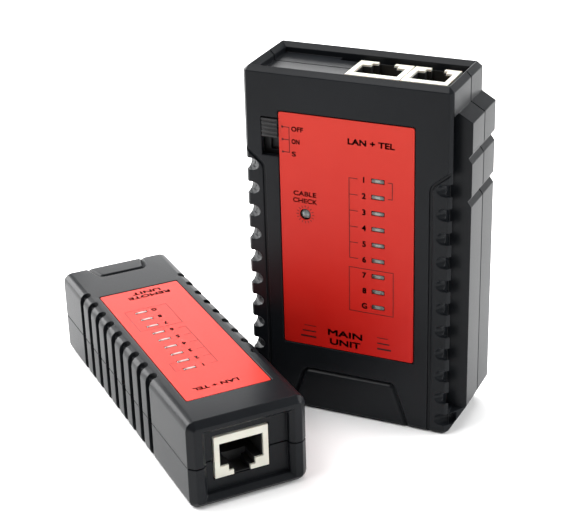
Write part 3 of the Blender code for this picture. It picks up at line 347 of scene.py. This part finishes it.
def lettering(words, centre, height, width=None, bold=0.0):
    """Flat lettering with capitals of a height, stretched to a width if one is given.

    Bold lettering is the same outline nine times over, shifted to a square's corners, sides and middle.
    """
    text = bpy.data.curves.new("words", "FONT")
    text.body, text.resolution_u = words, 3
    holder = bpy.data.objects.new("words", text)
    bpy.context.scene.collection.objects.link(holder)
    mesh = bpy.data.meshes.new_from_object(holder)
    bpy.data.objects.remove(holder)
    points = np.empty(len(mesh.vertices) * 3)
    mesh.vertices.foreach_get("co", points)
    points = points.reshape(-1, 3)[:, :2]
    corners = np.empty(len(mesh.loops), int)
    mesh.loops.foreach_get("vertex_index", corners)
    bpy.data.meshes.remove(mesh)
    low, high = points.min(0), points.max(0)
    tall = height / CAPITAL
    wide = tall if width is None else width / (high[0] - low[0])
    points = (points - ((low[0] + high[0]) / 2, CAPITAL / 2)) * (wide, tall) + centre
    shifts = np.zeros((1, 2))
    if bold:
        shifts = np.array([(side, rise) for side in (-1, 0, 1) for rise in (-1, 0, 1)]) * bold
    starts = np.arange(len(shifts)) * len(points)
    return ((points + shifts[:, None]).reshape(-1, 2),
            (corners.reshape(-1, 3) + starts[:, None, None]).reshape(-1, 3).tolist())


def wiring(lamps):
    """Brackets beside a column of lamps: 1 to 6 on the left, 1 and 2 on the right, a box round the rest."""
    across, first = lamps[0]
    rail, box_left, box_right = across - RAIL_ASIDE, across - BOX_LEFT, across + BOX_RIGHT
    ticks = [line(((rail, height), (rail + TICK, height)), FINE) for height in lamps[:6, 1]]
    upright = line(((rail, first + FINE / 2), (rail, lamps[5, 1] - FINE / 2)), FINE)
    pair = line(((across + PAIR_NEAR, first), (across + PAIR_FAR, first), (across + PAIR_FAR, lamps[1, 1]),
                 (across + PAIR_NEAR, lamps[1, 1])), FINE)
    top, foot = lamps[6, 1] + BOX_OVER, lamps[8, 1] - BOX_UNDER
    frame_line = line(((across, top), (box_right, top), (box_right, foot), (box_left, foot), (box_left, top),
                       (across, top)), FINE)
    return ticks + [upright, pair, frame_line]


def printed(name, body, look, shapes, label, right, up):
    """Join flat shapes into one print on a label's face; right and up are the print's directions."""
    right, up = np.array(right, float), np.array(up, float)
    out = np.cross(right, up)
    low, high = (np.array(corner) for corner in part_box(label))
    centre = (low + high) / 2 + out * (abs(out @ (high - low)) / 2 + INK_PROUD)
    starts = np.cumsum([0] + [len(points) for points, faces in shapes])
    flat = np.concatenate([points for points, faces in shapes])
    faces = [[corner + start for corner in face]
             for start, (points, some) in zip(starts, shapes) for face in some]
    made = new_piece(name, centre + flat[:, :1] * right + flat[:, 1:] * up, faces, False)
    made.data.materials.append(look)
    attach(made, body)


def ink(name, colour):
    """Matt ink whose colour drifts by a quarter of itself, with a faint grain."""
    made, wires, shader = new_material(name, colour, 0.5, Specular_IOR_Level=0.2)
    varied(wires, shader, colour, 0.25, 0.0012)
    grained(wires, shader, 0.0003, 0.000002, 0.4)
    return made


def on_label(label, right, up, nodes):
    """Where the nodes' middles fall on a label: their offset from its own middle, along right and up."""
    return np.array([[(middle(node) - middle(label)) @ direction for direction in (right, up)]
                     for node in nodes])


main_right, main_up = np.array((1.0, 0, 0)), np.array((0, 0, 1.0))
main_lamps = on_label("main_label", main_right, main_up, [f"main_led_{lamp}" for lamp in LAMPS])
lamp_across, lamp_first = main_lamps[0]
numbers = [lettering(lamp.upper(), (lamp_across - NUMBER_ASIDE, height), 0.0017, bold=BOLD)
           for lamp, (_, height) in zip(LAMPS, main_lamps)]
port_name = lettering("LAN + TEL", (lamp_across - 0.0019, lamp_first + 0.0106), 0.0017, 0.0134, BOLD)
title_foot = -(label_high[2] - label_low[2]) / 2
titles = [lettering("MAIN", (-0.0008, title_foot + 0.0053), 0.0019, 0.0104, BOLDER),
          lettering("UNIT", (-0.0008, title_foot + 0.0024), 0.0019, 0.0092, BOLDER)]
STRIPE_RIGHT, STRIPE_LEFT, STRIPE_PITCH = 0.009, -0.00974, 0.00175
stripes = []
for row, (width, reach) in enumerate(((FINE, 0.0032), (MEDIUM, 0.0037), (BROAD, 0.0042))):
    height = title_foot + 0.0062 - row * STRIPE_PITCH
    stripes += [line(((STRIPE_RIGHT, height), (STRIPE_RIGHT + reach, height)), width),
                line(((STRIPE_LEFT - reach * 1.15, height), (STRIPE_LEFT, height)), width)]
switch_marks = on_label("main_label", main_right, main_up, ["main_switch_knob"])[0]
left_edge = (label_low[0] - label_high[0]) / 2
SWITCH_PITCH, DOT_IN, BRACKET_IN = 0.00365, 0.0011, 0.0031
stops = [switch_marks[1] + 0.0007 - SWITCH_PITCH * stop for stop in range(3)]
bracket = left_edge + BRACKET_IN
marks = [line(((bracket, stops[0] + FINE / 2), (bracket, stops[2] - FINE / 2)), FINE)]
for height, word in zip(stops, ("OFF", "ON", "S")):
    size = 0.00115 * len(word)
    marks += [dot((left_edge + DOT_IN, height), 0.00034),
              line(((left_edge + DOT_IN, height), (bracket, height)), FINE),
              lettering(word, (bracket + 0.0007 + size / 2, height - 0.0003), 0.0014, size, 0.00006)]
power = on_label("main_label", main_right, main_up, ["main_power_led"])[0]
RAYS, RAY_START, RAY_END = 16, 0.0020, 0.0027
for ray in range(RAYS):
    aim = np.array((math.cos(ray * math.tau / RAYS), math.sin(ray * math.tau / RAYS)))
    marks.append(line((power + aim * RAY_START, power + aim * RAY_END), FINE))
lamp_name = [lettering("CABLE", power + (0, 0.0062), 0.0014, 0.0068, THIN),
             lettering("CHECK", power + (0, 0.0041), 0.0014, 0.0072, THIN)]

for name, look, shapes in (
        ("main_numbers", ink("bold_ink", (0.035, 0.005, 0.005)), numbers + [port_name] + titles + stripes),
        ("main_wiring", ink("line_ink", (0.10, 0.008, 0.006)), wiring(main_lamps) + marks),
        ("main_lamp_name", ink("faint_ink", (0.20, 0.014, 0.010)), lamp_name)):
    printed(name, "main_unit", look, shapes, "main_label", main_right, main_up)

# The remote's print reads the right way up from its far end, with the socket at the top.
toward_socket = middle("remote_led_1") - middle("remote_led_g")
remote_up = toward_socket / np.linalg.norm(toward_socket)
remote_right = np.cross(remote_up, (0, 0, 1.0))
remote_lamps = on_label("remote_label", remote_right, remote_up, [f"remote_led_{lamp}" for lamp in LAMPS])
lamp_across, lamp_first = remote_lamps[0]
remote_numbers = [lettering(lamp.upper(), (lamp_across - NUMBER_ASIDE, height), 0.0016, bold=0.00010)
                  for lamp, (_, height) in zip(LAMPS, remote_lamps)]
remote_words = [lettering("LAN + TEL", (lamp_across - 0.0029, lamp_first + 0.0118), 0.0016, 0.0132, BOLD),
                lettering("REMOTE", (-0.0015, -0.0296), 0.0017, 0.0130, BOLDER),
                lettering("UNIT", (-0.0015, -0.0322), 0.0017, 0.0088, BOLDER)]
for name, look, shapes in (
        ("remote_numbers", ink("remote_ink", (0.075, 0.008, 0.008)), remote_numbers + remote_words),
        ("remote_wiring", ink("remote_line_ink", (0.16, 0.012, 0.010)), wiring(remote_lamps))):
    printed(name, "remote_unit", look, shapes, "remote_label", remote_right, remote_up)


# ------------------------------------------------------------------ lamps
# Eighteen flat lamps and one round one, cast in milky grey epoxy over a small bright cup, and soldered
# to the boards so that their faces stand level with the labels. Each lens's colour is made darker towards
# its left and right ends as painted shade.
LENS_BULGE = 0.00018
LENS_SPREAD = 0.00012      # a lens's face beyond the lamp that it stands for, each side


def skin(rings):
    """Faces of a closed skin over rings of points, with a flat cap on the first and last."""
    rows, columns = rings.shape[:2]
    caps = [list(range(columns))[::-1], list(range((rows - 1) * columns, rows * columns))]
    return grid_faces(rows, columns, wrap=True).tolist() + caps


def lens(half_across, half_up, squareness, profile):
    """Rings of a lens: a superellipse, whose cosine and sine are raised to 2 over its squareness.

    The profile gives each ring's share of the outline and its height from the lens's face.
    """
    angle = np.linspace(0, math.tau, 40, endpoint=False) + math.tau / 80
    share, level = (np.array(column)[:, None] for column in zip(*profile))
    power = 2 / squareness
    across = half_across * share * np.sign(np.cos(angle)) * np.abs(np.cos(angle)) ** power
    upward = half_up * share * np.sign(np.sin(angle)) * np.abs(np.sin(angle)) ** power
    return np.stack((across, upward, level + 0 * across), -1)


def milky_epoxy_shaded_ends(name, cup, body):
    """Grey resin with a brighter cup in the middle and painted shade darkening it towards the ends, read from
    the lens's own coordinate across it.
    """
    made, wires, shader = new_material(name, body, 0.16, Coat_Weight=0.3, Coat_Roughness=0.08)
    across = wires.node("Attribute", {"attribute_name": "across"}, output="Fac")
    cloud = noise(wires, 0.0009, 3.0)
    depth = across + 0.25 * (cloud - 0.5)
    # The last stop darkens the resin towards the lens's ends: painted shade.
    stops = ((0.12, cup), (0.5, body), (0.85, tuple(channel * 0.35 for channel in body)))
    feed(wires.node("ValToRGB", {"stops": stops}, {"Fac": depth}), shader, "Base Color")
    feed(0.12 + 0.14 * cloud, shader, "Roughness")
    return made


def lamp(node, name, body, look, right, up, rings):
    """Set a lens's rings in front of its board, facing out of the label, in place of a CAD lamp."""
    right, up = np.array(right), np.array(up)
    out = np.cross(right, up)
    low, high = (np.array(corner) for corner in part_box(node))
    front = middle(node) + out * abs(out @ (high - low)) / 2
    spots = front + rings[..., :1] * right + rings[..., 1:2] * up + rings[..., 2:] * out
    made = new_piece(name, spots, skin(rings))
    off_middle = np.abs(rings[..., 0]) / np.abs(rings[..., 0]).max()
    made.data.attributes.new("across", "FLOAT", "POINT").data.foreach_set("value", off_middle.ravel())
    made.data.materials.append(look)
    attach(made, body)
    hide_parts(node)


LENS_SQUARENESS, FOOT_SHARE, SIDE_SHARE, FOOT_STEP = 9, 0.6, 0.97, 0.0003
lamp_low, lamp_high = (np.array(corner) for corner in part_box("main_led_1"))
lamp_half = (lamp_high - lamp_low) / 2
remote_depth = np.ptp(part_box("remote_led_1"), axis=0)[2]
lens_steps = [(math.cos(turn) ** 0.5, LENS_BULGE * (math.sin(turn) - 1)) for turn in np.linspace(0, 1.45, 9)]
for unit, right, up, depth, cup, body_colour in (
        ("main", main_right, main_up, lamp_half[1] * 2, (0.30, 0.31, 0.29), (0.10, 0.10, 0.09)),
        ("remote", remote_right, remote_up, remote_depth, (0.44, 0.33, 0.31), (0.34, 0.16, 0.14))):
    profile = [(FOOT_SHARE, -depth), (SIDE_SHARE, -depth + FOOT_STEP)] + lens_steps
    resin = milky_epoxy_shaded_ends(f"{unit}_lamp_epoxy", cup, body_colour)
    for lamp_number in LAMPS:
        lamp(f"{unit}_led_{lamp_number}", f"{unit}_lamp_{lamp_number}", f"{unit}_unit", resin, right, up,
             lens(lamp_half[0] + LENS_SPREAD, lamp_half[2] + LENS_SPREAD, LENS_SQUARENESS, profile))
power_size = np.ptp(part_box("main_power_led"), axis=0)
power_half, power_depth = power_size[0] / 2 + 2 * LENS_SPREAD, power_size[1]
dome = [(math.cos(turn), power_half * (math.sin(turn) - 1)) for turn in np.linspace(0, 1.5, 12)]
lamp("main_power_led", "main_power_lamp", "main_unit",
     milky_epoxy_shaded_ends("power_lamp_epoxy", (0.13, 0.15, 0.15), (0.20, 0.24, 0.24)), main_right, main_up,
     lens(power_half, power_half, 2, [(1, -power_depth)] + dome))


# ------------------------------------------------------------------ slide switch
# A black nylon knob with finger ribs stands in the window beside the label, and its tongue runs in the
# slot of a small moulded switch that is soldered to the main board behind the window.
def black_nylon():
    """Black plastic; its roughness is a base plus a share of the grain."""
    colour = (0.013, 0.013, 0.014)
    made, wires, shader = new_material("black_nylon", colour, 0.45, Specular_IOR_Level=0.35)
    varied(wires, shader, colour, 0.3, 0.002)
    grain = grained(wires, shader, 0.00025, 0.000012, 0.6)
    feed(0.4 + 0.15 * grain, shader, "Roughness")
    return made


knob_nylon = black_nylon()
softened("main_switch_knob", "switch_knob_cap", "switch_knob", knob_nylon, 0.00006, 20)
softened("main_switch_body", "switch_housing", "main_unit", knob_nylon, 0.00008)


# ------------------------------------------------------------------ modular sockets
# Three sockets soldered to the boards: a housing moulded in cream nylon, a black lining inside each mouth
# that is painted shade for the shadow in it, and gold-plated spring wires that slope back from the mouth,
# eight or six to a socket.
SIDE_WALL, FLOOR_WALL, MOUTH = 0.0016, 0.0024, 0.007
LATCH_STEPS = (0.00185, 0.00145)
LATCH_SHARES = (0.61, 0.38)
LINER_PLAY, LINER_WALL = 0.00003, 0.00018
LINER_START, LATCH_END, LINER_END = 0.0006, 0.0064, 0.0131
LATCH_TURN, LATCH_SQUASH = 0.0001, 20
WIRE_RADIUS, WIRE_PITCH = 0.00019, 0.00102


def cream_nylon():
    """Cream plastic that light enters a little; its roughness is a base plus shares of grain and patches."""
    colour = (0.60, 0.585, 0.51)
    made, wires, shader = new_material("cream_nylon", colour, 0.42,
                                       Subsurface_Weight=0.08, Subsurface_Scale=0.001)
    patches = varied(wires, shader, colour, 0.04, 0.004)
    grain = grained(wires, shader, 0.0003, 0.000006, 0.4)
    feed(0.36 + 0.08 * grain + 0.08 * patches, shader, "Roughness")
    return made


def gold_plate():
    """Gold over nickel, whose roughness is a base plus a share of a fine noise."""
    colour = (0.80, 0.56, 0.20)
    made, wires, shader = new_material("gold_plate", colour, 0.28, Metallic=1.0)
    varied(wires, shader, colour, 0.12, 0.001)
    feed(0.2 + 0.2 * noise(wires, 0.0004), shader, "Roughness")
    return made


def shade_liner_rings(width, deep):
    """Rings of a black lining inside a mouth, put there as painted shade: the stepped outline, inset along
    its mitres by each wall's gap.

    Past the latch's end, the steps are squashed to a twentieth of their height.
    """
    half, low = width / 2 - SIDE_WALL, -deep / 2 + FLOOR_WALL
    high = low + MOUTH
    first, second = half * LATCH_SHARES[0], half * LATCH_SHARES[1]
    step, top = high + LATCH_STEPS[0], high + sum(LATCH_STEPS)
    outline = np.array(((-half, low), (-half, high), (-first, high), (-first, step), (-second, step),
                        (-second, top), (second, top), (second, step), (first, step), (first, high),
                        (half, high), (half, low)))
    squashed = outline.copy()
    above = outline[:, 1] - high
    squashed[:, 1] = np.where(above > 0, high + above / LATCH_SQUASH, outline[:, 1])
    outward = -mitres(outline, closed=True)
    inside, outside, turn_start = LINER_PLAY + LINER_WALL, LINER_PLAY, LATCH_END - LATCH_TURN
    rings = ((squashed, inside, LINER_END - LINER_WALL), (squashed, inside, LATCH_END),
             (outline, inside, turn_start), (outline, inside, LINER_START),
             (outline, outside, LINER_START), (outline, outside, turn_start + LINER_WALL),
             (squashed, outside, LATCH_END + LINER_WALL), (squashed, outside, LINER_END))
    return np.array([np.column_stack((shape - outward * gap, np.full(len(shape), -end)))
                     for shape, gap, end in rings])


def spring_wires(width, deep, ways):
    """Round wires side by side: a circle carried along a cubic curve, which four knots weight by t.

    The weights are the powers of t and 1 - t that sum to 1, and each circle lies square to the slope.
    """
    low = -deep / 2 + FLOOR_WALL
    knots = np.array(((low + 0.0006, -0.0012), (low + 0.0007, -0.0030), (low + 0.0046, -0.0080),
                      (low + 0.0040, -0.0122)))
    t = np.linspace(0, 1, 18)[:, None]
    curve = sum(weight * knot for weight, knot in zip(
        ((1 - t) ** 3, 3 * t * (1 - t) ** 2, 3 * t * t * (1 - t), t ** 3), knots))
    slope = np.gradient(curve, axis=0)
    slope /= np.linalg.norm(slope, axis=1)[:, None]
    angle = np.linspace(0, math.tau, 10, endpoint=False)
    aside = WIRE_RADIUS * np.cos(angle)[None, :] * np.ones((len(t), 1))
    lift = WIRE_RADIUS * np.sin(angle)[None, :]
    ring = np.stack((aside, curve[:, :1] - slope[:, 1:] * lift, curve[:, 1:] + slope[:, :1] * lift), -1)
    places = (np.arange(ways) - (ways - 1) / 2) * WIRE_PITCH
    return ring[None] + np.stack((places, 0 * places, 0 * places), -1)[:, None, None, :]


cream, gold = cream_nylon(), gold_plate()
lan_low, lan_high = (np.array(corner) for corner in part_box("main_lan_jack"))
lan_size = lan_high - lan_low
phone_low, phone_high = (np.array(corner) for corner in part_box("main_phone_jack"))
main_axes = np.eye(3)
remote_axes = np.array((remote_right, (0, 0, -1.0), remote_up))
for name, unit, contacts, width, ways, mouth, axes in (
        ("main_lan", "main_unit", "main_lan_contacts", lan_size[0], 8,
         np.array((*(lan_low + lan_high)[:2] / 2, lan_high[2])), main_axes),
        ("main_phone", "main_unit", "main_phone_contacts", (phone_high - phone_low)[0], 6,
         np.array((*(phone_low + phone_high)[:2] / 2, phone_high[2])), main_axes),
        ("remote", "remote_unit", "remote_contacts", lan_size[0], 8,
         middle("remote_jack") + remote_up * lan_size[2] / 2, remote_axes)):
    softened(f"{name}_jack", f"{name}_socket", unit, cream, 0.00016)
    cup = shade_liner_rings(width, lan_size[1])
    # A black lining for the mouth's shadow: painted shade inside the cream socket.
    shade_liner = new_piece(f"{name}_carrier", mouth + cup @ axes, skin(cup), False)
    shade_liner.data.materials.append(knob_nylon)
    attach(shade_liner, unit)
    wires_shape = spring_wires(width, lan_size[1], ways)
    one = np.array([face for face in skin(wires_shape[0]) if len(face) == 4])
    caps = skin(wires_shape[0])[-2:]
    count = wires_shape[0].size // 3
    faces = [[corner + way * count for corner in face] for way in range(ways) for face in one.tolist() + caps]
    springs = new_piece(f"{name}_spring_wires", mouth + wires_shape @ axes, faces)
    springs.data.materials.append(gold)
    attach(springs, unit)
    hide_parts(contacts)


# ------------------------------------------------------------------ circuit boards and chips
# Glass-epoxy boards under green solder mask, with copper tracks showing through as a lighter green.
# Each chip is a black epoxy body on tinned legs that are soldered to the board.
def solder_mask():
    """Green from dark to light by a sum of track lines and a share of the weave's noise."""
    made, wires, shader = new_material("solder_mask", (0.01, 0.09, 0.03), 0.3, Coat_Weight=0.4)
    place = wires.node("TexCoord", output="Object")
    tracks = wires.node("TexBrick", {"offset": 0.5, "squash": 1.6},
                        {"Vector": place, "Scale": 260.0, "Mortar Size": 0.012, "Mortar Smooth": 0.1,
                         "Color1": (0, 0, 0, 1), "Color2": (0, 0, 0, 1), "Mortar": (1, 1, 1, 1)},
                        output="Fac")
    weave = noise(wires, 0.0006)
    tone = 0.75 * tracks + 0.25 * weave
    feed(wires.node("ValToRGB", {"stops": ((0.1, (0.006, 0.06, 0.02)), (0.9, (0.03, 0.22, 0.07)))},
                    {"Fac": tone}), shader, "Base Color")
    feed(wires.node("Bump", sockets={"Height": tone, "Distance": 0.00004}), shader, "Normal")
    return made


def chip_epoxy(name, centre, half, axis):
    """Black epoxy, and tin beyond half the body's width to each side of its middle on one axis."""
    made, wires, shader = new_material(name, (0.015, 0.015, 0.016), 0.5)
    place = wires.node("TexCoord", output="Object")
    aside = wires.node("VectorMath", {"operation": "DOT_PRODUCT"}, {0: place, 1: tuple(axis)}, output="Value")
    tin = wires.maths("GREATER_THAN", wires.maths("ABSOLUTE", aside - float(centre @ axis), 0.0), half)
    speck = noise(wires, 0.0002)
    feed(wires.node("ValToRGB", {"stops": ((0.0, (0.012, 0.012, 0.013)), (1.0, (0.6, 0.6, 0.6)))},
                    {"Fac": tin + 0.03 * speck}), shader, "Base Color")
    feed(tin, shader, "Metallic")
    feed(0.55 - 0.25 * tin + 0.1 * speck, shader, "Roughness")
    return made


mask = solder_mask()
relook("main_circuit_board", mask)
relook("remote_circuit_board", mask)
CHIP_HALF = 0.0025
for node, name, unit, axis in (("main_counter_chip", "counter_package", "main_unit", main_up),
                               ("main_timer_chip", "timer_package", "main_unit", main_up),
                               ("remote_diode_array", "diode_package", "remote_unit", remote_up)):
    epoxy = chip_epoxy(f"{name}_epoxy", middle(node), CHIP_HALF, axis)
    softened(node, name, unit, epoxy, 0.00006)

# ------------------------------------------------------------------ battery, snap and leads
# A 9 V block: a steel can in a two-colour printed wrap, with two nickel terminals that a vinyl snap
# clips on to. Red and black leads run from the snap to the main board.
TERMINAL_RISE = 0.0021
COLOUR_CHANGE = 0.68       # share of the can's length where the wrap's second colour starts


def printed_wrap(low, high):
    """Two colours by the share of the way from low to high, and bare metal past high."""
    made, wires, shader = new_material("battery_wrap", (0.02, 0.03, 0.06), 0.3, Coat_Weight=0.5)
    place = wires.node("TexCoord", output="Object")
    along = wires.node("SeparateXYZ", sockets={"Vector": place}, output="X")
    share = (along - low) * (1 / (high - low))
    scuff = noise(wires, 0.003, 4.0)
    band = wires.maths("GREATER_THAN", share, COLOUR_CHANGE)
    metal = wires.maths("GREATER_THAN", share, 1.0)
    tone = 0.35 * band + 0.5 * metal + 0.06 * scuff
    stops = ((0.1, (0.012, 0.016, 0.03)), (0.25, (0.55, 0.26, 0.07)), (0.7, (0.6, 0.6, 0.58)))
    feed(wires.node("ValToRGB", {"stops": stops, "ramp": "CONSTANT"}, {"Fac": tone}), shader, "Base Color")
    feed(0.4 * band + 0.6 * metal, shader, "Metallic")
    feed(0.25 + 0.2 * scuff, shader, "Roughness")
    return made


def vinyl(name, colour):
    """Soft plastic, whose roughness is a base plus a share of the colour's patches."""
    made, wires, shader = new_material(name, colour, 0.45)
    patches = varied(wires, shader, colour, 0.15, 0.003)
    grained(wires, shader, 0.0005, 0.00001, 0.4)
    feed(0.38 + 0.12 * patches, shader, "Roughness")
    return made


battery_low, battery_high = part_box("battery_9v")
softened("battery_9v", "battery_block", "main_unit",
         printed_wrap(battery_low[0], battery_high[0] - TERMINAL_RISE + 0.0001), 0.0003, 20)
softened("battery_snap", "battery_snap_cap", "main_unit",
         vinyl("snap_vinyl", (0.012, 0.012, 0.013)), 0.0002)
relook("battery_lead_positive", vinyl("red_insulation", (0.45, 0.015, 0.01)))
relook("battery_lead_negative", vinyl("black_insulation", (0.012, 0.012, 0.012)))


# ------------------------------------------------------------------ screws
# Six pan-head screws, cold headed and zinc plated, hold the shells together from behind. Their heads
# sit deep in counterbores and carry a cross slot.
def zinc_plate():
    """Bright metal, whose roughness is a base plus a share of the colour's patches."""
    colour = (0.56, 0.57, 0.58)
    made, wires, shader = new_material("zinc_plate", colour, 0.3, Metallic=1.0)
    patches = varied(wires, shader, colour, 0.12, 0.0015)
    grained(wires, shader, 0.0002, 0.000004, 0.6)
    feed(0.24 + 0.2 * patches, shader, "Roughness")
    return made


zinc = zinc_plate()
for unit, count in (("main", 4), ("remote", 2)):
    for number in range(1, count + 1):
        softened(f"{unit}_case_screw_{number}", f"{unit}_screw_{number}", f"{unit}_unit",
                 zinc, 0.00007)
